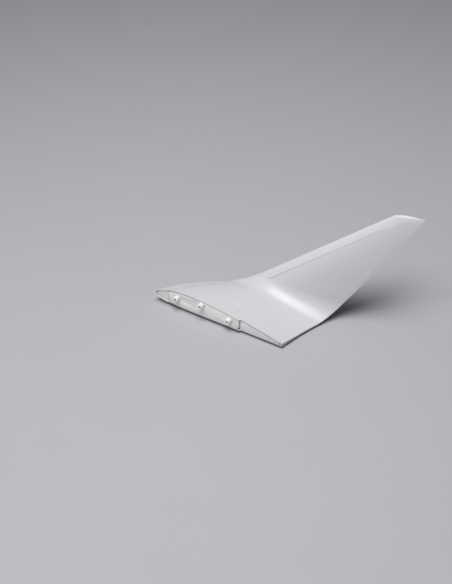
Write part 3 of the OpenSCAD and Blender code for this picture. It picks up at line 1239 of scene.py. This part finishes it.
@dataclass
class LeadingEdge:
    """Hollow strip at the root, light lens, and solid strip on the fin that turns round the tip."""

    sizes: WingletSizes
    corner: Vector
    # The strip's colours are a little lighter than the skin's: painted light on the leading edge.
    finish: GlossWhite = field(default_factory=lambda: GlossWhite(
        name="gloss_white_strip", colour=(0.591, 0.588, 0.616), deep=(0.562, 0.559, 0.586)))
    lens_finish: MilkyLens = field(default_factory=MilkyLens)
    lens_at: float = 72.0
    lens_length: float = 12.0
    lens_gap: float = 0.05
    nose_points: int = 18
    root_rows: int = 54
    lens_rows: int = 10
    fin_rows: int = 72
    turn_rows: int = 12
    tip_rows: int = 24

    def strip(self, name: str, runs_of: Callable[[Lines], list[Run]], wall: Wall,
              material: bpy.types.Material) -> bpy.types.Object:
        """Make one piece of the leading edge.

        Args:
            name: The piece's name.
            runs_of: Gives the runs of rows for the tree's lines.
            wall: Whether it is hollow.
            material: Its finish.

        Returns:
            The piece.
        """
        tree = LoftTree(f"{name}_loft")
        lines = Lines(tree, self.sizes, self.corner)
        runs = runs_of(lines)
        ring = Ring(tree.graph, 2 * self.nose_points + 1, sum(run.rows for run in runs) + 1, wall)
        point, row, inner, closing = ring.numbers()
        at = Station(lines, lines.stations(row, runs))
        edge = lines.seam(at.t)
        u = edge.root() * (point - self.nose_points) / self.nose_points
        x, height = at.section(u)
        if wall is Wall.HOLLOW:
            lined = inner * (1 - closing)
            inner_x, inner_height = at.inset(u, lines.size.skin_wall)
            x, height = lined.pick(inner_x, x), lined.pick(inner_height, height)
        else:
            height = closing.pick(at.chord * at.middle(u * u), height)
        marks = {"span": at.t, "aft": at.chord * u * u, "fore": at.chord * (1 - u * u),
                 "seam": at.chord * (edge - u * u), "upper": row * 0 + 1}
        tree.close(ring.columns, ring.rows + 2, at.place(x, height), marks, material)
        return smoothed(tree.run(name))

    def build(self) -> None:
        """Make the three pieces in place of their solids."""
        gap = self.lens_gap
        start, end = self.lens_at - self.lens_length / 2, self.lens_at + self.lens_length / 2
        white, milky = self.finish.material(), self.lens_finish.material()
        root = self.strip("root_strip", lambda lines: [
            Run(0.0, start - gap, self.root_rows)], Wall.HOLLOW, white)
        lens = self.strip("lens_insert", lambda lines: [
            Run(start + gap, end - gap, self.lens_rows)], Wall.SOLID, milky)
        fin = self.strip("fin_strip", lambda lines: [
            Run(end + gap, lines.turn_start, self.fin_rows),
            Run(lines.turn_start, lines.band_start, self.turn_rows, Pace.CLOSING),
            Run(lines.band_start, lines.size.span_length, self.tip_rows, Pace.CLOSING)], Wall.SOLID, white)
        settle(root, "edge", "leading_edge_root")
        settle(lens, "lens", "light_lens")
        settle(fin, "edge", "leading_edge_fin")


@dataclass
class Closings:
    """Root rib, nose rib and rear rib, welded from their solids with softened edges.

    Attributes:
        edge: Width of the softened edges.
        edge_steps: Faces across such an edge.
        edge_deg: Angle from which an edge is softened.
        flat_deg: Angle up to which two faces count as one.
        seat: How far a plate's bottom fills its clearance.
        lift: How far its top does.
        slope: Upward share of a normal from which a side counts as top or bottom.
        side: Sideways share of a normal from which a face counts as a plate's front or back.
        tail: How far the rear end of the tailed node runs on.
        tail_taper: Share of its height that it loses there.
        bore_reach: Distance from a peg's axis within which a point belongs to its bore.
    """

    finish: MattPlate = field(default_factory=MattPlate)
    edge: float = 0.12
    edge_steps: int = 2
    edge_deg: float = 40.0
    flat_deg: float = 0.5
    seat: float = 0.4
    lift: float = 0.1
    slope: float = 0.3
    side: float = 0.5
    tail: float = 1.3
    tail_taper: float = 0.75
    bore_reach: float = 3.0
    nodes: tuple[str, ...] = ("root_rib", "nose_rib", "rear_rib")
    tailed_node: str = "rear_rib"

    def fill(self, shape: bmesh.types.BMesh, tailed: bool) -> None:
        """Let a plate fill out its clearance, most of all at the bottom, as a bonded plate does.

        Args:
            shape: The plate, with merged points.
            tailed: Whether its rear end runs on to where the two skins meet.
        """
        shape.normal_update()
        axes = [((low + high) / 2).xz for low, high in map(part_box, Pegs.nodes)]
        for vert in shape.verts:
            bored = any((vert.co.xz - axis).length < self.bore_reach * MM for axis in axes)
            rises = [face.normal.z for face in vert.link_faces if abs(face.normal.y) < self.side]
            if bored or not rises:
                continue
            rise = sum(rises) / len(rises)
            if rise > self.slope:
                vert.co.z += self.lift * MM
            elif rise < -self.slope:
                vert.co.z -= self.seat * MM
        if tailed:
            end = max(shape.faces, key=lambda face: face.normal.x)
            grown = bmesh.ops.extrude_discrete_faces(shape, faces=[end])["faces"][0]
            middle = grown.calc_center_median().z
            for vert in grown.verts:
                vert.co.x += self.tail * MM
                vert.co.z += (middle - vert.co.z) * self.tail_taper

    def plate(self, node: str, material: bpy.types.Material) -> bpy.types.Object:
        """Make one plate.

        Args:
            node: The solid that it follows.
            material: Its finish.

        Returns:
            The piece.
        """
        shape = bmesh.new()
        shape.from_mesh(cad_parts[node].data)
        bmesh.ops.remove_doubles(shape, verts=shape.verts, dist=WELD)
        bmesh.ops.dissolve_limit(shape, angle_limit=math.radians(self.flat_deg), verts=shape.verts,
                                 edges=shape.edges)
        self.fill(shape, node == self.tailed_node)
        piece = shaped(f"{node}_plate", shape, material)
        bevel = piece.modifiers.new("edge", "BEVEL")
        bevel.width = self.edge * MM
        bevel.segments = self.edge_steps
        bevel.limit_method = "ANGLE"
        bevel.angle_limit = math.radians(self.edge_deg)
        bevel.use_clamp_overlap = False
        return smoothed(applied(piece, bevel))

    def build(self) -> None:
        """Make the plates in place of their solids."""
        material = self.finish.material()
        for node in self.nodes:
            settle(self.plate(node, material), "rib", node)


@dataclass
class Pegs:
    """Three hollow pegs, turned round the axes of their solids."""

    finish: SatinPeg = field(default_factory=SatinPeg)
    radius: float = 3.0
    reach: float = 4.0
    rim: float = 0.6
    rim_points: int = 6
    seat: float = 1.0
    foot_radius: float = 2.7
    shank_radius: float = 2.2
    shank_depth: float = 9.0
    hole_radius: float = 1.2
    hole_depth: float = 8.0
    hole_lip: float = 0.15
    steps: int = 64
    nodes: tuple[str, ...] = ("front_peg", "middle_peg", "rear_peg")

    def profile(self) -> list[tuple[float, float]]:
        """Half section of a peg.

        Returns:
            Pairs of radius and distance out from the root face.
        """
        turns = [math.pi / 2 * step / self.rim_points for step in range(self.rim_points + 1)]
        rim = [(self.radius - self.rim * (1 - math.cos(a)), self.reach - self.rim * (1 - math.sin(a)))
               for a in turns]
        bottom = self.reach - self.hole_depth
        return [(0.0, -self.shank_depth), (self.shank_radius, -self.shank_depth),
                (self.shank_radius, -self.seat), (self.foot_radius, -self.seat), (self.foot_radius, 0.0),
                (self.radius, 0.0), *rim, (self.hole_radius + self.hole_lip, self.reach),
                (self.hole_radius, self.reach - self.hole_lip), (self.hole_radius, bottom), (0.0, bottom)]

    def peg(self, node: str, material: bpy.types.Material) -> bpy.types.Object:
        """Turn one peg.

        Args:
            node: The solid whose axis it has.
            material: Its finish.

        Returns:
            The piece.
        """
        low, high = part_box(node)
        axis = Vector(((low.x + high.x) / 2, 0.0, (low.z + high.z) / 2))
        shape = bmesh.new()
        points = [shape.verts.new(axis + Vector((r, -out, 0.0)) * MM) for r, out in self.profile()]
        edges = [shape.edges.new(pair) for pair in zip(points, points[1:])]
        bmesh.ops.spin(shape, geom=points + edges, cent=axis, axis=(0.0, 1.0, 0.0),
                       angle=2 * math.pi, steps=self.steps)
        bmesh.ops.remove_doubles(shape, verts=shape.verts, dist=WELD)
        bmesh.ops.recalc_face_normals(shape, faces=shape.faces)
        return smoothed(shaped(f"{node}_turned", shape, material))

    def build(self) -> None:
        """Make the pegs in place of their solids."""
        material = self.finish.material()
        for node in self.nodes:
            settle(self.peg(node, material), "peg", node)


@dataclass
class Core:
    """Peg block and shear web, which stay as their solids."""

    finish: PlainCore = field(default_factory=PlainCore)
    nodes: tuple[str, ...] = ("peg_block", "shear_web")

    def dress(self) -> None:
        """Give the solids their finish."""
        material = self.finish.material()
        for node in self.nodes:
            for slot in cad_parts[node].material_slots:
                slot.material = material
            LOG.info("%s: dressed", node)


@dataclass(frozen=True)
class Lamp:
    """A soft lamp that points at the winglet.

    Attributes:
        name: The lamp's name.
        towards: Direction from the winglet to it, as the camera sees it: right, ahead and up.
        away: Its distance, in metres.
        size: Width and depth of its face, in metres.
        power: Its power, in watts.
    """

    name: str
    towards: tuple[float, float, float]
    away: float
    size: tuple[float, float]
    power: float


@dataclass
class Studio:
    """Floor, lamps, world and camera.

    Attributes:
        corner: Corner under the root's nose, in metres.
        aim: Point of the floor in the middle of the picture.
        azimuth_deg: Direction from that point to the camera, from +X towards +Y.
        elevation_deg: Height of the camera above the floor, as an angle.
        distance: Distance of the camera.
        focal_px: Focal length in pixels of the picture.
        picture_px: Longer side of the picture, in pixels.
        sensor: Width of the camera's sensor.
        nearest: Distance from which the camera sees things.
        floor_sides: Points round the floor.
        floor_gap: Height of the flat underside above the floor.
        lamp_aim: Point that the lamps are aimed at.
        world_level: Strength of the even sky.
    """

    corner: Vector
    aim: tuple[float, float] = (1.13, 44.23)
    azimuth_deg: float = -59.24
    elevation_deg: float = 40.21
    distance: float = 982.7
    focal_px: float = 974.2
    picture_px: float = 584.0
    sensor: float = 36.0
    nearest: float = 10.0
    floor_finish: PaleFloor = field(default_factory=PaleFloor)
    floor_radius: float = 3000.0
    floor_sides: int = 96
    floor_gap: float = 2.5
    lamp_aim: tuple[float, float, float] = (70.0, 50.0, 0.0)
    lamps: tuple[Lamp, ...] = (Lamp("softbox", (-0.145, -0.167, 0.97), 1.3, (0.72, 0.98), 21.5),
                               Lamp("fill", (-0.9, -0.4, 0.17), 1.6, (0.5, 0.4), 1.7))
    world_colour: Colour = (1.0, 1.0, 1.02)
    world_level: float = 0.11

    def direction(self, right: float, ahead: float, up: float) -> Vector:
        """Turn a direction as the camera sees it into the part's frame.

        Args:
            right: Its share to the right.
            ahead: Its share away from the camera, level with the floor.
            up: Its share upwards.

        Returns:
            The direction, with length 1.
        """
        turn = math.radians(self.azimuth_deg + 90)
        return Vector((right * math.cos(turn) - ahead * math.sin(turn),
                       right * math.sin(turn) + ahead * math.cos(turn), up)).normalized()

    def camera(self) -> None:
        """Stand the camera where the picture was taken from."""
        lens = bpy.data.cameras.new("camera")
        lens.sensor_width = self.sensor
        lens.lens = self.sensor * self.focal_px / self.picture_px
        lens.clip_start = self.nearest * MM
        up = math.radians(self.elevation_deg)
        back = self.direction(0.0, -math.cos(up), math.sin(up))
        body = linked("camera", lens)
        body.location = Vector((*self.aim, self.corner.z / MM)) * MM + back * self.distance * MM
        body.rotation_euler = back.to_track_quat("Z", "Y").to_euler()
        bpy.context.scene.camera = body

    def hang(self, lamp: Lamp) -> None:
        """Hang one lamp.

        Args:
            lamp: The lamp.
        """
        light = bpy.data.lights.new(lamp.name, "AREA")
        light.shape = "RECTANGLE"
        light.size, light.size_y = lamp.size
        light.energy = lamp.power
        towards = self.direction(*lamp.towards)
        body = linked(lamp.name, light)
        body.location = Vector(self.lamp_aim) * MM + towards * lamp.away
        body.rotation_euler = towards.to_track_quat("Z", "Y").to_euler()

    def floor(self) -> None:
        """Lay the floor under the winglet."""
        shape = bmesh.new()
        bmesh.ops.create_circle(shape, cap_ends=True, segments=self.floor_sides,
                                radius=self.floor_radius * MM)
        body = shaped("floor", shape, self.floor_finish.material())
        body.data.transform(Matrix.Translation((0.0, 0.0, self.corner.z - self.floor_gap * MM)))
        body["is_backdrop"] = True

    def sky(self) -> None:
        """Light the scene evenly from all sides."""
        world = bpy.data.worlds.new("studio")
        world.use_nodes = True
        world.node_tree.nodes.clear()
        graph = Graph(world.node_tree)
        glow = graph.node("ShaderNodeBackground", None,
                          {"Color": (*self.world_colour, 1.0), "Strength": self.world_level})
        graph.node("ShaderNodeOutputWorld", None, {"Surface": glow.outputs[0]})
        bpy.context.scene.world = world

    def build(self) -> None:
        """Set up the whole studio."""
        self.camera()
        self.floor()
        for lamp in self.lamps:
            self.hang(lamp)
        self.sky()
        bpy.context.scene.view_settings.view_transform = "Standard"


def plain(box: tuple[Vector, Vector]) -> list[list[float]]:
    """Write a box as plain lists of numbers."""
    return [[float(value) for value in corner] for corner in box]


def main() -> None:
    """Build the winglet's pieces in order."""
    logging.basicConfig(level=logging.INFO, format="%(name)s: %(message)s")
    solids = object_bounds()
    nose_x = min(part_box(node)[0].x for node in ("leading_edge_root", "lower_skin"))
    corner = Vector((nose_x, 0.0, solids[0][2]))
    sizes = WingletSizes()
    Studio(corner).build()
    Skins(sizes, corner).build()
    LeadingEdge(sizes, corner).build()
    Closings().build()
    Pegs().build()
    Core().dress()


if __name__ == "__main__":
    main()
